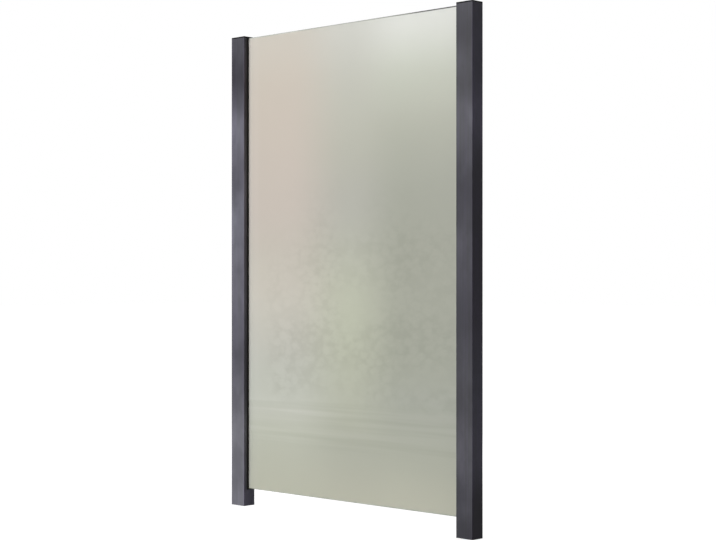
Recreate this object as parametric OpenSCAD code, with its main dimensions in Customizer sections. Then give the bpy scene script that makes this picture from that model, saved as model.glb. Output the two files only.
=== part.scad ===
// One bay of a privacy fence: a frosted glass pane held in the channels of two aluminium posts.
// The origin is the centre of the left post's foot, +X runs along the fence to the right post,
// +Y points to the back and +Z points up.

/* [Glass pane] */
// Width of the pane
glass_w = 1150; // [600:10:1400]
// Height of the pane
glass_h = 1800; // [900:10:2200]
// Thickness of the pane
glass_t = 8; // [6:1:12]
// Width of the bevel ground along every edge of the pane
glass_bevel = 1; // [0.5:0.1:2]
// Depth that each side of the pane reaches into its post
glass_bite = 22.5; // [18:0.5:32]
// Height of the pane's lower edge above the ground
glass_lift = 69; // [30:1:200]
// Drop from the post's cut top down to the pane's upper edge
glass_drop = 1; // [0:0.5:20]

/* [Posts] */
// Width of a post along the fence
post_w = 75; // [60:1:110]
// Depth of a post from front to back
post_d = 56; // [50:1:90]
// Thickness of a post's outer walls
post_wall = 2.5; // [2:0.1:3.5]
// Radius of a post's outer corners
post_corner_r = 1.5; // [0.5:0.1:2]
// Thickness of the web behind the glass channel
web_t = 2.5; // [2:0.1:4]

/* [Glass channel] */
// Depth of the channel, from the post's inner side face to the web
channel_depth = 36; // [30:0.5:42]
// Width of the channel from front to back
channel_w = 28; // [22:0.5:32]
// Thickness of the channel's side walls
channel_wall = 2; // [1.5:0.1:3]

/* [Screw ports] */
// Radius of the screw ports that run up the corners of a post
port_r = 2.5; // [1.5:0.1:3]
// Thickness of the metal around a screw port
port_wall = 2.75; // [2:0.05:4]
// Depth that the metal around a port runs into the post's side wall
port_bite = 0.5; // [0.3:0.1:1]
// Width of the slit that opens each port to its chamber
port_slit = 2; // [1:0.1:2.4]

/* [Post caps] */
// Thickness of a cap's plate
cap_t = 5; // [3:0.5:12]
// Width of the bevel around a cap's top
cap_bevel = 1; // [0.5:0.1:2]
// Depth that a cap's lugs reach down into the post
lug_depth = 14; // [8:1:30]
// Wall thickness of the lugs
lug_wall = 1.5; // [1:0.1:2]
// Clearance between a lug and the chamber around it
lug_play = 0.3; // [0.1:0.05:0.6]

/* [Gaskets] */
// Width of a gasket along the fence
gasket_w = 15; // [10:0.5:20]
// Distance that a gasket sits back from the post's inner side face
gasket_set_back = 1; // [0:0.1:3]
// Width of the bevel on a gasket's visible edge, next to the glass
gasket_bevel = 2; // [1:0.1:3]
// Number of relief grooves pressed against the glass
groove_count = 3; // [1:1:3]
// Radius of the relief grooves
groove_r = 1; // [0.5:0.1:1.4]

/* [Setting blocks] */
// Thickness of the rubber block under each lower corner of the pane
block_t = 5; // [3:0.5:10]
// Clearance between a block and the channel around it
block_play = 0.2; // [0.1:0.05:0.5]

/* [Channel fillers] */
// Thickness of a filler's walls and middle rib
filler_wall = 2; // [1.5:0.1:3]
// Clearance between a filler and the channel around it
filler_play = 0.2; // [0.1:0.05:0.5]
// Distance that a filler sits back from the post's inner side face
filler_set_back = 0.5; // [0:0.1:3]

/* [Hidden] */

coat_colour = "#55545a";
glass_colour = "#bcbcad";
rubber_colour = "#1c1b1a";

// A cutting shape runs this far past the face that it opens
over = 1;

// Left post's inner side face and the bottom of its channel, along X
mouth_x = post_w / 2;
channel_x = mouth_x - channel_depth;
// Distance between the two posts' centres
pitch = glass_w + 2 * (mouth_x - glass_bite);
// Cut length of a post, under its cap
post_h = glass_lift + glass_h + glass_drop;
// Inner faces of a post's outer walls
inner_x = post_w / 2 - post_wall;
inner_y = post_d / 2 - post_wall;
// Side of a channel wall that faces its chamber
chamber_y = channel_w / 2 + channel_wall;
// Screw ports, one in each corner, halfway between the channel wall and the outer wall
boss_r = port_r + port_wall;
port_x = inner_x - boss_r + port_bite;
port_y = (chamber_y + inner_y) / 2;

// Rectangle with rounded corners, centred on the origin
module rounded_rectangle(w, d, r) {
    square([w - 2 * r, d], center = true);
    square([w, d - 2 * r], center = true);
    for (x = [-1, 1], y = [-1, 1])
        translate([x * (w / 2 - r), y * (d / 2 - r)]) circle(r, $fn = 32);
}

// The shape and its mirror image across the fence
module front_and_back() {
    children();
    mirror([0, 1, 0]) children();
}

// The shape moved from the left post to the right one and turned to face it
module on_the_right() {
    translate([pitch, 0, 0]) mirror([1, 0, 0]) children();
}

// Hollow on a post's outer side. With an inset it is the outline of what fits inside.
module outer_chamber(inset = 0) {
    difference() {
        translate([-inner_x + inset, -inner_y + inset])
            square([inner_x + channel_x - web_t - 2 * inset, 2 * (inner_y - inset)]);
        front_and_back() {
            translate([-port_x, port_y]) circle(boss_r + inset, $fn = 48);
            translate([-inner_x, port_y - inset]) square([inner_x - port_x + inset, inner_y]);
        }
    }
}

// Hollow behind the channel, between its back wall and the post's. An inset works as above.
module side_chamber(inset = 0) {
    difference() {
        translate([channel_x + inset, chamber_y + inset])
            square([port_x - channel_x - 2 * inset, inner_y - chamber_y - 2 * inset]);
        translate([port_x, port_y]) circle(boss_r + inset, $fn = 48);
    }
}

// Round screw port with the slit that opens it to its chamber
module screw_port() {
    translate([port_x, port_y]) circle(port_r, $fn = 32);
    translate([port_x - boss_r - over, port_y - port_slit / 2]) square([boss_r + over, port_slit]);
}

module post_section() {
    difference() {
        rounded_rectangle(post_w, post_d, post_corner_r);
        translate([channel_x, -channel_w / 2]) square([channel_depth + over, channel_w]);
        outer_chamber();
        front_and_back() {
            side_chamber();
            screw_port();
            mirror([1, 0, 0]) screw_port();
        }
    }
}

module post() {
    color(coat_colour) linear_extrude(post_h) post_section();
}

// Thin wall that presses into a chamber
module lug_section() {
    difference() {
        outer_chamber(lug_play);
        outer_chamber(lug_play + lug_wall);
    }
    front_and_back() difference() {
        side_chamber(lug_play);
        side_chamber(lug_play + lug_wall);
    }
}

// Side view of a plate with its top edges bevelled
module bevelled_plate_profile(w, t, bevel) {
    polygon([[-w / 2, 0], [w / 2, 0], [w / 2, t - bevel],
        [w / 2 - bevel, t], [bevel - w / 2, t], [-w / 2, t - bevel]]);
}

module cap_plate() {
    intersection() {
        linear_extrude(cap_t) rounded_rectangle(post_w, post_d, post_corner_r);
        rotate([90, 0, 0]) linear_extrude(post_d + 2 * over, center = true)
            bevelled_plate_profile(post_w, cap_t, cap_bevel);
        rotate([90, 0, 90]) linear_extrude(post_w + 2 * over, center = true)
            bevelled_plate_profile(post_d, cap_t, cap_bevel);
    }
}

module post_cap() {
    color(coat_colour) translate([0, 0, post_h]) {
        cap_plate();
        translate([0, 0, -lug_depth]) linear_extrude(lug_depth + cap_t / 2) lug_section();
    }
}

// Outline of a pane's section: a long rectangle with all four corners bevelled
module pane_section(length) {
    polygon([
        [glass_bevel, -glass_t / 2], [length - glass_bevel, -glass_t / 2],
        [length, glass_bevel - glass_t / 2], [length, glass_t / 2 - glass_bevel],
        [length - glass_bevel, glass_t / 2], [glass_bevel, glass_t / 2],
        [0, glass_t / 2 - glass_bevel], [0, glass_bevel - glass_t / 2]]);
}

module glass_pane() {
    color(glass_colour, 0.8) translate([mouth_x - glass_bite, 0, glass_lift]) intersection() {
        linear_extrude(glass_h) pane_section(glass_w);
        mirror([1, 0, 0]) rotate([0, -90, 0]) linear_extrude(glass_w) pane_section(glass_h);
    }
}

// Section of the gasket behind the pane, in the left post
module gasket_section() {
    face_x = mouth_x - gasket_set_back;
    glass_y = glass_t / 2;
    groove_step = (gasket_w - gasket_bevel) / (groove_count + 1);
    difference() {
        polygon([[face_x - gasket_w, glass_y], [face_x - gasket_bevel, glass_y],
            [face_x, glass_y + gasket_bevel], [face_x, channel_w / 2],
            [face_x - gasket_w, channel_w / 2]]);
        for (i = [1 : groove_count])
            translate([face_x - gasket_w + i * groove_step, glass_y]) circle(groove_r, $fn = 24);
    }
}

module back_gasket() {
    color(rubber_colour) translate([0, 0, glass_lift]) linear_extrude(glass_h) gasket_section();
}

module front_gasket() {
    mirror([0, 1, 0]) back_gasket();
}

module setting_block() {
    start_x = channel_x + block_play;
    color(rubber_colour) translate([start_x, block_play - channel_w / 2, glass_lift - block_t])
        cube([mouth_x - gasket_set_back - start_x, channel_w - 2 * block_play, block_t]);
}

// Closed box section with a rib down the middle, right under the pane
module filler_section() {
    start_x = channel_x + filler_play;
    length = mouth_x - filler_set_back - start_x;
    half_w = channel_w / 2 - filler_play;
    cell_w = half_w - filler_wall - filler_wall / 2;
    translate([start_x, 0]) difference() {
        translate([0, -half_w]) square([length, 2 * half_w]);
        front_and_back() translate([filler_wall, filler_wall / 2])
            square([length - 2 * filler_wall, cell_w]);
    }
}

module channel_filler() {
    color(coat_colour) linear_extrude(glass_lift - block_t) filler_section();
}

module left_post() {
    post();
}

module right_post() {
    on_the_right() post();
}

module left_post_cap() {
    post_cap();
}

module right_post_cap() {
    on_the_right() post_cap();
}

module left_front_gasket() {
    front_gasket();
}

module left_back_gasket() {
    back_gasket();
}

module right_front_gasket() {
    on_the_right() front_gasket();
}

module right_back_gasket() {
    on_the_right() back_gasket();
}

module left_setting_block() {
    setting_block();
}

module right_setting_block() {
    on_the_right() setting_block();
}

module left_channel_filler() {
    channel_filler();
}

module right_channel_filler() {
    on_the_right() channel_filler();
}

left_post();
right_post();
left_post_cap();
right_post_cap();
glass_pane();
left_front_gasket();
left_back_gasket();
right_front_gasket();
right_back_gasket();
left_setting_block();
right_setting_block();
left_channel_filler();
right_channel_filler();
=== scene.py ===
from math import pi, radians

import bpy
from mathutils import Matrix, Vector


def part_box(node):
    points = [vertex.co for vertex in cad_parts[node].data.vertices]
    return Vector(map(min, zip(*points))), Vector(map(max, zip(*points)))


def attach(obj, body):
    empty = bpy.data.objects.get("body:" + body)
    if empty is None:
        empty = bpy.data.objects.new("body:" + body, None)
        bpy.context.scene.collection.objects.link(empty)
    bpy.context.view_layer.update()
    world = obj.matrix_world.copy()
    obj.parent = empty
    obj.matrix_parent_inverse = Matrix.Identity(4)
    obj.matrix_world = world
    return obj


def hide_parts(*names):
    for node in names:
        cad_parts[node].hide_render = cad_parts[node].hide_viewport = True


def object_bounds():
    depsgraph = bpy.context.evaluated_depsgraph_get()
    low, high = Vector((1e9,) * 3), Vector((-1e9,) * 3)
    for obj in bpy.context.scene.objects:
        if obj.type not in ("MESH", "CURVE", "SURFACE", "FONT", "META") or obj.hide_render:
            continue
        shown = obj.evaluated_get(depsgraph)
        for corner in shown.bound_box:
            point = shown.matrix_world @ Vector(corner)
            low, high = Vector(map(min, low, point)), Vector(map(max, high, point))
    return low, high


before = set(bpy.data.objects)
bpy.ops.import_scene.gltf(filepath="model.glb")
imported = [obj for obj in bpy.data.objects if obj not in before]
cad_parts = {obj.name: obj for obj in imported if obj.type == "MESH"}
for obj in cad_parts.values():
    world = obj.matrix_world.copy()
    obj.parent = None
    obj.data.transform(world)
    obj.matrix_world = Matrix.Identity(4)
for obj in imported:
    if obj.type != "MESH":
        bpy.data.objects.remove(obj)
cad_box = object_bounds()

# ---------------------------------------------------------------------------------------------
# The view: level, from waist height in front of the bay and well to its right, with a long
# lens, so that the right post stands nearest and the uprights stay upright.
# ---------------------------------------------------------------------------------------------
sensor_width = 36
lens_length = 78.92
lens_rise = 0.0122
away_from_right_post = Vector((3.482, -4.203, 0.907))
turn_to_the_left = radians(43.815)

low, high = cad_box
camera_data = bpy.data.cameras.new("view")
camera_data.sensor_width = sensor_width
camera_data.lens = lens_length
camera_data.shift_y = lens_rise
camera = bpy.data.objects.new("view", camera_data)
bpy.context.scene.collection.objects.link(camera)
camera.location = Vector((high.x, low.y, 0)) + away_from_right_post
camera.rotation_euler = (pi / 2, 0, turn_to_the_left)
bpy.context.scene.camera = camera
bpy.context.scene.view_settings.view_transform = "Standard"

# ---------------------------------------------------------------------------------------------
# The studio: a plain white floor in an evenly white room. Two soft lamps stand in front of the
# left post, one high and one low, a third behind the bay, and a faint one off its right end.
# ---------------------------------------------------------------------------------------------
ambient_light = 0.14
floor_size = 80
floor_drop = 0.0002
floor_albedo = 0.25
near_glow = 0.86
near_glow_reach = 0.8
far_glow = 1.0
far_glow_start = 2.4


def seen_directly(nodes, links):
    """A socket that is 1 for what the lens, a mirror or glass looks at, and 0 for other light."""
    path = nodes.new("ShaderNodeLightPath")
    lens_or_mirror = nodes.new("ShaderNodeMath")
    lens_or_mirror.operation = "MAXIMUM"
    links.new(path.outputs["Is Camera Ray"], lens_or_mirror.inputs[0])
    links.new(path.outputs["Is Glossy Ray"], lens_or_mirror.inputs[1])
    or_glass = nodes.new("ShaderNodeMath")
    or_glass.operation = "MAXIMUM"
    links.new(lens_or_mirror.outputs[0], or_glass.inputs[0])
    links.new(path.outputs["Is Transmission Ray"], or_glass.inputs[1])
    return or_glass.outputs[0]


world = bpy.data.worlds.new("studio")
bpy.context.scene.world = world
world.use_nodes = True
nodes, links = world.node_tree.nodes, world.node_tree.links
nodes.clear()
lighting = nodes.new("ShaderNodeBackground")
lighting.inputs["Color"].default_value = (1, 1, 1, 1)
lighting.inputs["Strength"].default_value = ambient_light
backdrop = nodes.new("ShaderNodeBackground")
backdrop.inputs["Color"].default_value = (1, 1, 1, 1)
backdrop.inputs["Strength"].default_value = 1
room = nodes.new("ShaderNodeMixShader")
links.new(seen_directly(nodes, links), room.inputs["Fac"])
links.new(lighting.outputs[0], room.inputs[1])
links.new(backdrop.outputs[0], room.inputs[2])
links.new(room.outputs[0], nodes.new("ShaderNodeOutputWorld").inputs["Surface"])

bpy.ops.object.select_all(action="DESELECT")
middle = (low + high) / 2
bpy.ops.mesh.primitive_plane_add(size=floor_size, location=(middle.x, middle.y, -floor_drop))
bpy.ops.object.transform_apply(location=True, rotation=True, scale=True)
floor = bpy.context.object
floor.name = "floor"
floor_paint = bpy.data.materials.new("floor_paint")
floor_paint.use_nodes = True
nodes, links = floor_paint.node_tree.nodes, floor_paint.node_tree.links
nodes.clear()
matt_paint = nodes.new("ShaderNodeBsdfDiffuse")
matt_paint.inputs["Color"].default_value = (floor_albedo, floor_albedo, floor_albedo, 1)
glow = nodes.new("ShaderNodeEmission")
glow.inputs["Color"].default_value = (1, 1, 1, 1)
distance = nodes.new("ShaderNodeVectorMath")
distance.operation = "DISTANCE"
distance.inputs[1].default_value = (middle.x, middle.y, 0)
links.new(nodes.new("ShaderNodeTexCoord").outputs["Object"], distance.inputs[0])
fade = nodes.new("ShaderNodeMapRange")
fade.inputs["From Min"].default_value = near_glow_reach
fade.inputs["From Max"].default_value = far_glow_start
fade.inputs["To Min"].default_value = near_glow
fade.inputs["To Max"].default_value = far_glow
links.new(distance.outputs["Value"], fade.inputs["Value"])
glow_strength = nodes.new("ShaderNodeMath")
glow_strength.operation = "MULTIPLY"
links.new(seen_directly(nodes, links), glow_strength.inputs[0])
links.new(fade.outputs["Result"], glow_strength.inputs[1])
links.new(glow_strength.outputs[0], glow.inputs["Strength"])
paint_and_glow = nodes.new("ShaderNodeAddShader")
links.new(matt_paint.outputs[0], paint_and_glow.inputs[0])
links.new(glow.outputs[0], paint_and_glow.inputs[1])
links.new(paint_and_glow.outputs[0], nodes.new("ShaderNodeOutputMaterial").inputs["Surface"])
floor.data.materials.append(floor_paint)


def soft_lamp(name, place, target, width, height, watts):
    """A large rectangular lamp that faces a point."""
    data = bpy.data.lights.new(name, "AREA")
    data.shape = "RECTANGLE"
    data.size = width
    data.size_y = height
    data.energy = watts
    lamp = bpy.data.objects.new(name, data)
    bpy.context.scene.collection.objects.link(lamp)
    lamp.location = place
    lamp.rotation_euler = (Vector(target) - Vector(place)).to_track_quat("-Z", "Y").to_euler()


soft_lamp("key_lamp", place=(-0.4, -2.4, 2.35), target=(0.2, 0, 0.95), width=1.6, height=1.6, watts=68)
soft_lamp("low_lamp", place=(-0.35, -2.6, 0.6), target=(0.5, 0, 0.6), width=1.0, height=1.0, watts=32)
soft_lamp("back_lamp", place=(0.5, 2.6, 1.6), target=(0.6, 0, 0.85), width=1.8, height=2.6, watts=95)
soft_lamp("end_lamp", place=(3.5, -0.5, 1.7), target=(1.2, 0, 1.0), width=1.2, height=2.0, watts=7)

# ---------------------------------------------------------------------------------------------
# The posts: aluminium extrusions with a channel for the glass down the inner side, powder
# coated in a satin dark grey and sawn to length, which leaves the foot faces bare.
# ---------------------------------------------------------------------------------------------
post_edge_round = 0.0004
foot_level = low.z + 0.0001
side_blend = 0.001
same_point = 0.00001
flat_angle = radians(1)
sharp_angle = radians(50)
sliver = 0.000002


def srgb(hex_code):
    """The colour of a six-figure hex code as linear red, green, blue and alpha."""
    channels = [int(hex_code[i:i + 2], 16) / 255 for i in (1, 3, 5)]
    linear = [c / 12.92 if c <= 0.04045 else ((c + 0.055) / 1.055) ** 2.4 for c in channels]
    return (*linear, 1)


def new_finish(name, roughness, specular=0.5, metallic=0.0):
    """A new material with one Principled shader. Returns it, its nodes, links and shader."""
    made = bpy.data.materials.new(name)
    made.use_nodes = True
    nodes, links = made.node_tree.nodes, made.node_tree.links
    shader = nodes["Principled BSDF"]
    shader.inputs["Roughness"].default_value = roughness
    shader.inputs["Specular IOR Level"].default_value = specular
    shader.inputs["Metallic"].default_value = metallic
    return made, nodes, links, shader


def place_on_piece(nodes, links, scale=(1, 1, 1), shift=(0, 0, 0), turn=(0, 0, 0)):
    """Object coordinates, in metres, scaled, turned and then shifted along each axis."""
    mapping = nodes.new("ShaderNodeMapping")
    mapping.inputs["Rotation"].default_value = turn
    mapping.inputs["Scale"].default_value = scale
    mapping.inputs["Location"].default_value = shift
    links.new(nodes.new("ShaderNodeTexCoord").outputs["Object"], mapping.inputs["Vector"])
    return mapping.outputs["Vector"]


def noise(nodes, links, place, scale, detail=2.0, roughness=0.5):
    """Soft noise round 0.5 with this many cells to a metre."""
    made = nodes.new("ShaderNodeTexNoise")
    made.inputs["Scale"].default_value = scale
    made.inputs["Detail"].default_value = detail
    made.inputs["Roughness"].default_value = roughness
    links.new(place, made.inputs["Vector"])
    return made.outputs["Fac"]


def spread(nodes, links, value, lowest, highest):
    """Noise from 0.3 to 0.7 as a number from lowest to highest."""
    made = nodes.new("ShaderNodeMapRange")
    made.inputs["From Min"].default_value = 0.3
    made.inputs["From Max"].default_value = 0.7
    made.inputs["To Min"].default_value = lowest
    made.inputs["To Max"].default_value = highest
    links.new(value, made.inputs["Value"])
    return made.outputs["Result"]


def along(nodes, links, axis, start, end):
    """How far a point lies from start, 0, to end, 1, along an axis of the fence."""
    parts = nodes.new("ShaderNodeSeparateXYZ")
    links.new(nodes.new("ShaderNodeTexCoord").outputs["Object"], parts.inputs["Vector"])
    made = nodes.new("ShaderNodeMapRange")
    made.inputs["From Min"].default_value = start
    made.inputs["From Max"].default_value = end
    links.new(parts.outputs[axis], made.inputs["Value"])
    return made.outputs["Result"]


def ramp(nodes, links, factor, stops, curve="EASE"):
    """Colours at places from 0 to 1, blended along a factor."""
    made = nodes.new("ShaderNodeValToRGB")
    made.color_ramp.interpolation = curve
    while len(made.color_ramp.elements) < len(stops):
        made.color_ramp.elements.new(1)
    for element, (position, colour) in zip(made.color_ramp.elements, stops):
        element.position = position
        element.color = srgb(colour)
    links.new(factor, made.inputs["Fac"])
    return made.outputs["Color"]


def mix(nodes, links, blend, factor, first, second):
    """Two colours mixed. The factor is a socket or a number."""
    made = nodes.new("ShaderNodeMix")
    made.data_type = "RGBA"
    made.blend_type = blend
    if isinstance(factor, float):
        made.inputs["Factor"].default_value = factor
    else:
        links.new(factor, made.inputs["Factor"])
    links.new(first, made.inputs["A"])
    links.new(second, made.inputs["B"])
    return made.outputs["Result"]


def bump(nodes, links, shader, height, strength, depth):
    """Raises the shader's surface by up to a depth in metres."""
    made = nodes.new("ShaderNodeBump")
    made.inputs["Strength"].default_value = strength
    made.inputs["Distance"].default_value = depth
    links.new(height, made.inputs["Height"])
    links.new(made.outputs["Normal"], shader.inputs["Normal"])


def copy_of(node, name):
    """A new piece with a CAD node's shape: merged into one skin, with each flat face whole."""
    bpy.ops.object.select_all(action="DESELECT")
    piece = bpy.data.objects.new(name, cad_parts[node].data.copy())
    bpy.context.scene.collection.objects.link(piece)
    bpy.context.view_layer.objects.active = piece
    piece.select_set(True)
    piece.data.materials.clear()
    bpy.ops.object.mode_set(mode="EDIT")
    bpy.ops.mesh.select_all(action="SELECT")
    bpy.ops.mesh.remove_doubles(threshold=same_point)
    bpy.ops.mesh.dissolve_limited(angle_limit=flat_angle)
    bpy.ops.object.mode_set(mode="OBJECT")
    return piece


def soften_edges(piece, width):
    """Rounds every sharp edge and shades the piece smoothly, with its flat faces flat."""
    bpy.context.view_layer.objects.active = piece
    rounding = piece.modifiers.new("rounding", "BEVEL")
    rounding.width = width
    rounding.segments = 2
    rounding.limit_method = "ANGLE"
    rounding.angle_limit = sharp_angle
    bpy.ops.object.modifier_apply(modifier=rounding.name)
    bpy.ops.object.mode_set(mode="EDIT")
    bpy.ops.mesh.select_all(action="SELECT")
    bpy.ops.mesh.remove_doubles(threshold=sliver)
    bpy.ops.mesh.dissolve_degenerate(threshold=sliver)
    bpy.ops.object.mode_set(mode="OBJECT")
    bpy.ops.object.shade_smooth_by_angle(angle=sharp_angle)
    weighting = piece.modifiers.new("weighting", "WEIGHTED_NORMAL")
    weighting.keep_sharp = True
    bpy.ops.object.modifier_apply(modifier=weighting.name)


def coat_finish(name, tones, side_tones, side_x, shift=(0, 0, 0), specular=0.1):
    """Satin powder coat: the given colours up the height, others on the side face at side_x, and faint
    clouds. On the posts those colours are painted reflections and shade, on the cap rim painted shade.
    """
    made, nodes, links, shader = new_finish(name, roughness=0.45, specular=specular)
    height = along(nodes, links, "Z", low.z, high.z)
    front = ramp(nodes, links, height, tones, curve="CARDINAL")
    side = ramp(nodes, links, height, side_tones, curve="CARDINAL")
    on_the_side = along(nodes, links, "X", side_x - 2 * side_blend, side_x - side_blend)
    tone = mix(nodes, links, "MIX", on_the_side, front, side)
    tall = place_on_piece(nodes, links, scale=(2, 2, 1), shift=shift)
    clouds = noise(nodes, links, tall, scale=7, detail=3)
    cloud_greys = ramp(nodes, links, clouds, [(0.3, "#9a9a9a"), (0.7, "#dcdcdc")])
    cloudy = mix(nodes, links, "OVERLAY", 0.5, tone, cloud_greys)
    very_tall = place_on_piece(nodes, links, scale=(1, 1, 0.01), shift=shift)
    streaks = noise(nodes, links, very_tall, scale=160)
    hues = ramp(nodes, links, streaks, [(0.35, "#b0b5b1"), (0.65, "#c3c0cd")])
    links.new(mix(nodes, links, "OVERLAY", 0.5, cloudy, hues), shader.inputs["Base Color"])
    links.new(spread(nodes, links, clouds, 0.4, 0.52), shader.inputs["Roughness"])
    grain = noise(nodes, links, place_on_piece(nodes, links), scale=400)
    bump(nodes, links, shader, grain, strength=0.15, depth=0.0001)
    return made


def bare_aluminium_finish(name):
    """Sawn metal: pale grey, with the fine marks of a saw that passed from front to back."""
    made, nodes, links, shader = new_finish(name, roughness=0.35, metallic=1.0)
    along_the_cut = place_on_piece(nodes, links, scale=(1, 0.04, 0.04))
    marks = noise(nodes, links, along_the_cut, scale=900)
    mark_greys = ramp(nodes, links, marks, [(0.3, "#a9abad"), (0.7, "#c9cbcc")])
    links.new(mark_greys, shader.inputs["Base Color"])
    links.new(spread(nodes, links, marks, 0.3, 0.45), shader.inputs["Roughness"])
    bump(nodes, links, shader, marks, strength=0.3, depth=0.00005)
    return made


# Painted reflections and shade: each post's coat colours up the height of its front and of its side
# face, in lighter and darker bands, different for the two posts.
left_painted_reflection_and_shade_tones = [(0.0, "#6a6970"), (0.1, "#6d6c73"), (0.17, "#67666c"), (0.3, "#4e4d54"),
              (0.5, "#5a5960"), (0.6, "#5f5f66"), (0.69, "#4e4d54"), (0.81, "#5e5d65"),
              (0.905, "#302f35"), (1.0, "#48474d")]
right_painted_reflection_and_shade_tones = [(0.0, "#444349"), (0.05, "#49484e"), (0.08, "#47464c"), (0.15, "#56555b"),
               (0.24, "#454449"), (0.32, "#46454b"), (0.41, "#39383e"), (0.55, "#48474d"),
               (0.66, "#3a393f"), (0.77, "#5a5960"), (0.84, "#444348"), (0.89, "#4a494f"),
               (0.94, "#3c3b40"), (1.0, "#48474d")]
left_side_painted_reflection_and_shade_tones = [(0.0, "#4f4d58"), (0.1, "#5a5960"), (0.17, "#616166"), (0.23, "#49484d"),
                   (0.36, "#525158"), (0.58, "#5d5b60"), (0.77, "#57555a"), (0.9, "#474348"),
                   (1.0, "#4f4e54")]
right_side_painted_reflection_and_shade_tones = [(0.0, "#1c1a22"), (0.08, "#2a2830"), (0.15, "#4c4a55"), (0.3, "#42414b"),
                    (0.4, "#34313b"), (0.6, "#2a2731"), (0.7, "#34323b"), (0.77, "#53505d"),
                    (0.88, "#464450"), (1.0, "#45434c")]
coats_with_painted_reflections_and_shade = {"left": coat_finish("left_coat", left_painted_reflection_and_shade_tones, left_side_painted_reflection_and_shade_tones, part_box("left_post")[1].x),
         "right": coat_finish("right_coat", right_painted_reflection_and_shade_tones, right_side_painted_reflection_and_shade_tones, high.x, shift=(5, 0, 0))}
bare_aluminium = bare_aluminium_finish("bare_aluminium")

for side in ("left", "right"):
    post = copy_of(side + "_post", side + "_post_extrusion")
    soften_edges(post, post_edge_round)
    post.data.materials.append(coats_with_painted_reflections_and_shade[side])
    post.data.materials.append(bare_aluminium)
    for face in post.data.polygons:
        if face.center.z < foot_level:
            face.material_index = 1
    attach(post, "root")
    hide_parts(side + "_post")

# ---------------------------------------------------------------------------------------------
# The channel fillers: coated aluminium box sections with a rib down the middle, which close each
# channel from the ground up to the pane. They are sawn to length, which leaves their feet bare,
# and pushed in.
# ---------------------------------------------------------------------------------------------
filler_wall = 0.002
filler_edge_round = 0.0003


def mirrored_copy(piece, name, to_the_right=False, to_the_back=False):
    """A copy with its own mesh, mirrored across the middle of the bay, of the glass, or of both."""
    bpy.ops.object.select_all(action="DESELECT")
    mirrored = bpy.data.objects.new(name, piece.data.copy())
    bpy.context.scene.collection.objects.link(mirrored)
    bpy.context.view_layer.objects.active = mirrored
    mirrored.select_set(True)
    if to_the_right:
        mirrored.scale.x = -1
        mirrored.location.x = 2 * middle.x
    if to_the_back:
        mirrored.scale.y = -1
        mirrored.location.y = 2 * middle.y
    bpy.ops.object.transform_apply(location=True, rotation=True, scale=True)
    bpy.ops.object.mode_set(mode="EDIT")
    bpy.ops.mesh.select_all(action="SELECT")
    bpy.ops.mesh.normals_make_consistent(inside=False)
    bpy.ops.object.mode_set(mode="OBJECT")
    return mirrored


lowest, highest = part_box("left_channel_filler")
size = highest - lowest
centre = ((lowest.x + highest.x) / 2, (lowest.y + highest.y) / 2, lowest.z)
bpy.ops.object.select_all(action="DESELECT")
bpy.ops.mesh.primitive_plane_add(size=1, location=centre)
left_filler = bpy.context.object
left_filler.name = "left_filler_section"
left_filler.scale = (size.x, size.y, 1)
bpy.ops.object.transform_apply(location=True, rotation=True, scale=True)
bpy.ops.object.mode_set(mode="EDIT")
for wall_x in (lowest.x + filler_wall, highest.x - filler_wall):
    bpy.ops.mesh.select_all(action="SELECT")
    bpy.ops.mesh.bisect(plane_co=(wall_x, 0, 0), plane_no=(1, 0, 0))
for wall_y in (lowest.y + filler_wall, -filler_wall / 2, filler_wall / 2, highest.y - filler_wall):
    bpy.ops.mesh.select_all(action="SELECT")
    bpy.ops.mesh.bisect(plane_co=(0, wall_y, 0), plane_no=(0, 1, 0))
bpy.ops.mesh.select_mode(type="FACE")
bpy.ops.mesh.select_all(action="DESELECT")
bpy.ops.object.mode_set(mode="OBJECT")
for face in left_filler.data.polygons:
    between_ends = lowest.x + filler_wall < face.center.x < highest.x - filler_wall
    between_rib_and_side = filler_wall / 2 < abs(face.center.y) < highest.y - filler_wall
    face.select = between_ends and between_rib_and_side
bpy.ops.object.mode_set(mode="EDIT")
bpy.ops.mesh.delete(type="FACE")
bpy.ops.mesh.select_all(action="SELECT")
bpy.ops.mesh.extrude_region_move(TRANSFORM_OT_translate={"value": (0, 0, size.z)})
bpy.ops.mesh.select_all(action="SELECT")
bpy.ops.mesh.normals_make_consistent(inside=False)
bpy.ops.object.mode_set(mode="OBJECT")
right_filler = mirrored_copy(left_filler, "right_filler_section", to_the_right=True)

for side, filler in (("left", left_filler), ("right", right_filler)):
    soften_edges(filler, filler_edge_round)
    # The fillers take their post's coat, with its painted reflections and shade.
    filler.data.materials.append(coats_with_painted_reflections_and_shade[side])
    filler.data.materials.append(bare_aluminium)
    for face in filler.data.polygons:
        if face.center.z < foot_level:
            face.material_index = 1
    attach(filler, "root")
    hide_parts(side + "_channel_filler")

# ---------------------------------------------------------------------------------------------
# The setting blocks: hard black rubber pads under the pane's lower corners, which keep the
# glass off the metal. Ribs on the underside let water past.
# ---------------------------------------------------------------------------------------------
block_rib_count = 5
block_rib_depth = 0.0012
block_edge_round = 0.0004
facing = 0.9


def rubber_finish(name, colour_low, colour_high, roughness):
    """Black rubber: faintly uneven, with a fine skin and a little dust."""
    made, nodes, links, shader = new_finish(name, roughness, specular=0.12)
    skin = noise(nodes, links, place_on_piece(nodes, links), scale=700, detail=4)
    stretched = place_on_piece(nodes, links, scale=(1, 1, 0.2))
    dust = noise(nodes, links, stretched, scale=60, detail=3)
    dusty = ramp(nodes, links, dust, [(0.35, colour_low), (0.7, colour_high)])
    links.new(dusty, shader.inputs["Base Color"])
    dull_and_shiny = spread(nodes, links, dust, roughness - 0.08, roughness + 0.08)
    links.new(dull_and_shiny, shader.inputs["Roughness"])
    bump(nodes, links, shader, skin, strength=0.3, depth=0.0001)
    return made


block_rubber = rubber_finish("block_rubber", "#131312", "#1c1b1a", roughness=0.75)

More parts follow.
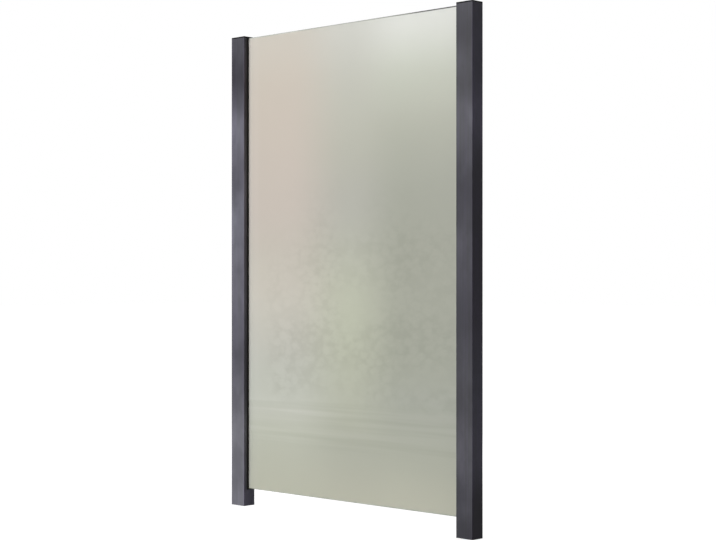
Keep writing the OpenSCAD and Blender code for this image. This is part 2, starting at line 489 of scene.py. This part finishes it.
lowest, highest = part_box("left_setting_block")
lowest.z = lowest.z + block_rib_depth
size = highest - lowest
bpy.ops.object.select_all(action="DESELECT")
bpy.ops.mesh.primitive_cube_add(size=1, location=(lowest + highest) / 2, scale=size)
left_block = bpy.context.object
left_block.name = "left_setting_block_pad"
bpy.ops.object.transform_apply(location=True, rotation=True, scale=True)
strip_width = size.x / (2 * block_rib_count - 1)
bpy.ops.object.mode_set(mode="EDIT")
for cut in range(1, 2 * block_rib_count - 1):
    bpy.ops.mesh.select_all(action="SELECT")
    bpy.ops.mesh.bisect(plane_co=(lowest.x + cut * strip_width, 0, 0), plane_no=(1, 0, 0))
bpy.ops.mesh.select_mode(type="FACE")
bpy.ops.mesh.select_all(action="DESELECT")
bpy.ops.object.mode_set(mode="OBJECT")
for face in left_block.data.polygons:
    strip = int((face.center.x - lowest.x) / strip_width)
    face.select = face.normal.z < -facing and strip % 2 == 0
bpy.ops.object.mode_set(mode="EDIT")
bpy.ops.mesh.extrude_region_move(TRANSFORM_OT_translate={"value": (0, 0, -block_rib_depth)})
bpy.ops.object.mode_set(mode="OBJECT")
right_block = mirrored_copy(left_block, "right_setting_block_pad", to_the_right=True)

for side, block in (("left", left_block), ("right", right_block)):
    soften_edges(block, block_edge_round)
    block.data.materials.append(block_rubber)
    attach(block, "root")
    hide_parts(side + "_setting_block")

# ---------------------------------------------------------------------------------------------
# The gaskets: black rubber sections pressed in on both faces of the glass. A round nose stands
# a little proud of the channel's mouth, and the ribs between three grooves grip the pane.
# ---------------------------------------------------------------------------------------------
nose_reach = 0.0029
outer_nose_round = 0.003
glass_side_round = 0.0006
nose_segments = 5
corner_reach = 0.0001
grip_groove_count = 3
grip_groove_depth = 0.001
grip_share = 0.75
gasket_edge_round = 0.0003

gasket_rubber = rubber_finish("gasket_rubber", "#121110", "#1b1a18", roughness=0.65)

lowest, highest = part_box("left_front_gasket")
highest.x = highest.x + nose_reach
centre = (lowest + highest) / 2 - Vector((0, grip_groove_depth / 2, 0))
size = highest - lowest - Vector((0, grip_groove_depth, 0))
bpy.ops.object.select_all(action="DESELECT")
bpy.ops.mesh.primitive_cube_add(size=1, location=centre, scale=size)
left_front_seal = bpy.context.object
left_front_seal.name = "left_front_glazing_seal"
bpy.ops.object.transform_apply(location=True, rotation=True, scale=True)
strip_width = size.x * grip_share / (2 * grip_groove_count)
bpy.ops.object.mode_set(mode="EDIT")
for cut in range(1, 2 * grip_groove_count + 1):
    bpy.ops.mesh.select_all(action="SELECT")
    bpy.ops.mesh.bisect(plane_co=(lowest.x + cut * strip_width, 0, 0), plane_no=(1, 0, 0))
bpy.ops.mesh.select_mode(type="FACE")
bpy.ops.mesh.select_all(action="DESELECT")
bpy.ops.object.mode_set(mode="OBJECT")
for face in left_front_seal.data.polygons:
    strip = int((face.center.x - lowest.x) / strip_width)
    in_groove = strip % 2 == 1 and strip < 2 * grip_groove_count
    face.select = face.normal.y > facing and not in_groove
bpy.ops.object.mode_set(mode="EDIT")
bpy.ops.mesh.extrude_region_move(TRANSFORM_OT_translate={"value": (0, grip_groove_depth, 0)})
bpy.ops.mesh.select_mode(type="EDGE")
bpy.ops.mesh.select_all(action="DESELECT")
bpy.ops.object.mode_set(mode="OBJECT")
for corner_y, corner_round in ((lowest.y, outer_nose_round), (highest.y, glass_side_round)):
    for edge in left_front_seal.data.edges:
        ends = [left_front_seal.data.vertices[v].co for v in edge.vertices]
        upright = abs(ends[0].z - ends[1].z) > size.z / 2
        at_corner = all(abs(end.x - highest.x) + abs(end.y - corner_y) < corner_reach for end in ends)
        edge.select = upright and at_corner
    bpy.ops.object.mode_set(mode="EDIT")
    bpy.ops.mesh.bevel(offset=corner_round, segments=nose_segments, affect="EDGES")
    bpy.ops.mesh.select_all(action="DESELECT")
    bpy.ops.object.mode_set(mode="OBJECT")

seals = {"left_front": left_front_seal}
seals["left_back"] = mirrored_copy(left_front_seal, "left_back_glazing_seal", to_the_back=True)
seals["right_front"] = mirrored_copy(left_front_seal, "right_front_glazing_seal", to_the_right=True)
seals["right_back"] = mirrored_copy(seals["right_front"], "right_back_glazing_seal", to_the_back=True)

for place, seal in seals.items():
    soften_edges(seal, gasket_edge_round)
    seal.data.materials.append(gasket_rubber)
    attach(seal, "root")
    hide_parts(place + "_gasket")

# ---------------------------------------------------------------------------------------------
# The pane: one sheet of toughened glass, etched to a satin face on both sides up to a narrow
# clear margin. Its edges are ground, bevelled and polished, and they look dark and green.
# ---------------------------------------------------------------------------------------------
edge_bevel = 0.001
clear_margin = 0.0035
bottom_tones_end = 0.3
top_tones_start = 0.31
# Painted reflections and painted light: the etched faces' colours up the height in three bands across,
# a pale painted reflection at the top right, soft reflected garden tones, and colours raised where less
# lamp light reaches the pane.
left_glass_painted_reflection_tones = [(0.0, "#c0c1b0"), (0.1, "#bdbfb0"), (0.14, "#c5c7ba"), (0.175, "#cacbc1"),
                    (0.215, "#c1c3b8"), (0.3, "#bebeb4"), (0.42, "#c2beb3"), (0.52, "#bdb7ac"),
                    (0.62, "#bcb3a9"), (0.88, "#bdb4a8"), (1.0, "#c0baaf")]
middle_glass_painted_reflection_tones = [(0.0, "#c1c1b0"), (0.1, "#b4b6a7"), (0.15, "#b8baab"), (0.25, "#b6b9a7"),
                      (0.42, "#b7baa7"), (0.6, "#ababa0"), (0.75, "#adada0"), (0.9, "#b7b7ac"),
                      (1.0, "#c2c2ba")]
right_glass_painted_reflection_tones = [(0.0, "#c7c7b6"), (0.08, "#b8baaa"), (0.2, "#abaea1"), (0.28, "#a2a596"),
                     (0.48, "#9d9f90"), (0.66, "#9c9e90"), (0.8, "#abad9e"), (0.9, "#bfc2b5"),
                     (1.0, "#d7d8d2")]

pane_low, pane_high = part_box("glass_pane")
pane_size = pane_high - pane_low
bpy.ops.object.select_all(action="DESELECT")
bpy.ops.mesh.primitive_cube_add(size=1, location=(pane_low + pane_high) / 2, scale=pane_size)
pane = bpy.context.object
pane.name = "satin_pane"
bpy.ops.object.transform_apply(location=True, rotation=True, scale=True)
bpy.ops.object.mode_set(mode="EDIT")
bpy.ops.mesh.select_all(action="SELECT")
bpy.ops.mesh.bevel(offset=edge_bevel, segments=1, affect="EDGES")
bpy.ops.mesh.select_all(action="DESELECT")
bpy.ops.object.mode_set(mode="OBJECT")
for face in pane.data.polygons:
    face.select = abs(face.normal.y) > facing
bpy.ops.object.mode_set(mode="EDIT")
bpy.ops.mesh.inset(thickness=clear_margin, use_individual=True)
bpy.ops.object.mode_set(mode="OBJECT")


def satin_glass_with_painted_reflections(name):
    """Etched glass with painted reflections and light: warm grey to the left, green-grey to the right
    and pale at the top right, painted leaf mottling lower down, low painted streaks and paler strips
    beside the posts.
    """
    made, nodes, links, shader = new_finish(name, roughness=0.45)
    height = along(nodes, links, "Z", pane_low.z, pane_high.z)
    across = along(nodes, links, "X", pane_low.x, pane_high.x)
    left_painted_reflection = ramp(nodes, links, height, left_glass_painted_reflection_tones, curve="CARDINAL")
    middle_painted_reflection = ramp(nodes, links, height, middle_glass_painted_reflection_tones, curve="CARDINAL")
    right_painted_reflection = ramp(nodes, links, height, right_glass_painted_reflection_tones, curve="CARDINAL")
    to_the_middle = ramp(nodes, links, across, [(0.22, "#000000"), (0.52, "#ffffff")])
    to_the_right = ramp(nodes, links, across, [(0.5, "#000000"), (0.76, "#ffffff")])
    tone = mix(nodes, links, "MIX", to_the_middle, left_painted_reflection, middle_painted_reflection)
    tone = mix(nodes, links, "MIX", to_the_right, tone, right_painted_reflection)
    # Painted light: paler strips beside the posts, which offset the shade of the gaskets and the post
    # lips on the glass.
    painted_light_beside_posts = ramp(nodes, links, across, [(0.021, "#b8b8b8"), (0.028, "#646464"), (0.042, "#404040"),
                                        (0.09, "#000000"), (0.956, "#000000"), (0.972, "#646464")])
    tone = mix(nodes, links, "SCREEN", 1.0, tone, painted_light_beside_posts)
    # Painted reflection: a faint mottling in clumps halfway up and away from the left post, like leaves
    # reflected in the glass.
    widened = place_on_piece(nodes, links, scale=(0.7, 1, 1))
    cells = nodes.new("ShaderNodeTexVoronoi")
    cells.inputs["Scale"].default_value = 34
    links.new(widened, cells.inputs["Vector"])
    cell_greys = ramp(nodes, links, cells.outputs["Distance"], [(0.2, "#d9d9d9"), (0.9, "#959595")])
    painted_leaf_reflection = noise(nodes, links, widened, scale=16, detail=6, roughness=0.75)
    painted_leaf_reflection = mix(nodes, links, "MIX", 0.3, painted_leaf_reflection, cell_greys)
    painted_leaf_reflection_greys = ramp(nodes, links, painted_leaf_reflection, [(0.38, "#efefed"), (0.62, "#ffffff")])
    halfway_up = ramp(nodes, links, height, [(0.16, "#000000"), (0.24, "#ffffff"),
                                             (0.5, "#ffffff"), (0.7, "#000000")])
    off_the_left_side = ramp(nodes, links, across, [(0.06, "#000000"), (0.2, "#ffffff")])
    clumps = noise(nodes, links, widened, scale=4)
    clump_greys = ramp(nodes, links, clumps, [(0.35, "#707070"), (0.6, "#ffffff")])
    where_leaf_reflection_painted = mix(nodes, links, "MULTIPLY", 1.0, halfway_up, off_the_left_side)
    where_leaf_reflection_painted = mix(nodes, links, "MULTIPLY", 1.0, where_leaf_reflection_painted, clump_greys)
    tone = mix(nodes, links, "MULTIPLY", where_leaf_reflection_painted, tone, painted_leaf_reflection_greys)
    # Painted reflection: a few faint long streaks low down, like a lawn's edge reflected in the glass.
    long_and_low = place_on_piece(nodes, links, scale=(0.7, 1, 26), turn=(0, radians(1.5), 0))
    streaks = noise(nodes, links, long_and_low, scale=1.5)
    painted_streak_reflection_greys = ramp(nodes, links, streaks, [(0.35, "#f3f4f1"), (0.65, "#ffffff")])
    where_streak_reflection_painted = ramp(nodes, links, height, [(0.09, "#000000"), (0.13, "#ffffff"),
                                                 (0.19, "#ffffff"), (0.22, "#000000")])
    tone = mix(nodes, links, "MULTIPLY", where_streak_reflection_painted, tone, painted_streak_reflection_greys)
    links.new(tone, shader.inputs["Base Color"])
    shader.inputs["Transmission Weight"].default_value = 0.25
    grain = noise(nodes, links, place_on_piece(nodes, links), scale=900, detail=1)
    bump(nodes, links, shader, grain, strength=0.08, depth=0.0001)
    return made


def clear_margin_finish(name):
    """Clear glass outside the etching: it darkens along the top towards the right."""
    made, nodes, links, shader = new_finish(name, roughness=0.3, specular=0.15)
    across = along(nodes, links, "X", pane_low.x, pane_high.x)
    at_the_top = along(nodes, links, "Z", pane_low.z + bottom_tones_end, pane_low.z + top_tones_start)
    top_tones = ramp(nodes, links, across, [(0.2, "#c9cac1"), (0.65, "#b4b6ae"), (0.74, "#989b92"),
                                            (0.82, "#141513"), (0.93, "#141513"), (1.0, "#4c4e4a")])
    bottom_tones = ramp(nodes, links, across, [(0.2, "#cdcebf"), (0.9, "#cbcec0")])
    tone = mix(nodes, links, "MIX", at_the_top, bottom_tones, top_tones)
    long_marks = place_on_piece(nodes, links, scale=(0.1, 1, 0.1))
    marks = noise(nodes, links, long_marks, scale=120)
    mark_greys = ramp(nodes, links, marks, [(0.3, "#e8eae6"), (0.7, "#ffffff")])
    links.new(mix(nodes, links, "MULTIPLY", 1.0, tone, mark_greys), shader.inputs["Base Color"])
    shader.inputs["Transmission Weight"].default_value = 0.25
    return made


def polished_edge_finish(name):
    """Polished glass seen edge on: dark green, with long faint grinding marks."""
    made, nodes, links, shader = new_finish(name, roughness=0.12)
    long_marks = place_on_piece(nodes, links, scale=(0.05, 1, 0.05))
    marks = noise(nodes, links, long_marks, scale=300)
    mark_greens = ramp(nodes, links, marks, [(0.3, "#3c4640"), (0.7, "#5b675f")])
    links.new(mark_greens, shader.inputs["Base Color"])
    links.new(spread(nodes, links, marks, 0.08, 0.2), shader.inputs["Roughness"])
    shader.inputs["Transmission Weight"].default_value = 0.3
    return made


pane.data.materials.append(satin_glass_with_painted_reflections("satin_glass"))
pane.data.materials.append(polished_edge_finish("polished_edge"))
pane.data.materials.append(clear_margin_finish("clear_margin"))
for face in pane.data.polygons:
    if abs(face.normal.y) < facing:
        face.material_index = 1
    elif face.area < pane_size.x * pane_size.z / 2:
        face.material_index = 2
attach(pane, "root")
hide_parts("glass_pane")

# ---------------------------------------------------------------------------------------------
# The caps: coated plates with a bevelled top that close the post tops, with painted shade on the rim.
# Thin lugs under them press into the chambers.
# ---------------------------------------------------------------------------------------------
cap_edge_round = 0.0003
top_facing = 0.5
top_tones = [(0.0, "#403f45"), (1.0, "#403f45")]
# Painted shade: a nearly black copy of the coat with almost no gloss on the rim, a dark line along the
# post tops.
rim_painted_shade_tones = [(0.0, "#0f0f10"), (1.0, "#0f0f10")]
cap_top_coat = coat_finish("cap_top_coat", top_tones, top_tones, high.x, shift=(3, 0, 0))
cap_rim_painted_shade = coat_finish("cap_rim_painted_shade", rim_painted_shade_tones, rim_painted_shade_tones, high.x, shift=(3, 0, 0), specular=0.02)

for side in ("left", "right"):
    cap = copy_of(side + "_post_cap", side + "_cap_plate")
    soften_edges(cap, cap_edge_round)
    # The rim faces take the painted shade, and the top and its bevel take the cap's coat.
    cap.data.materials.append(cap_rim_painted_shade)
    cap.data.materials.append(cap_top_coat)
    for face in cap.data.polygons:
        if face.normal.z > top_facing:
            face.material_index = 1
    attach(cap, "root")
    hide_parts(side + "_post_cap")
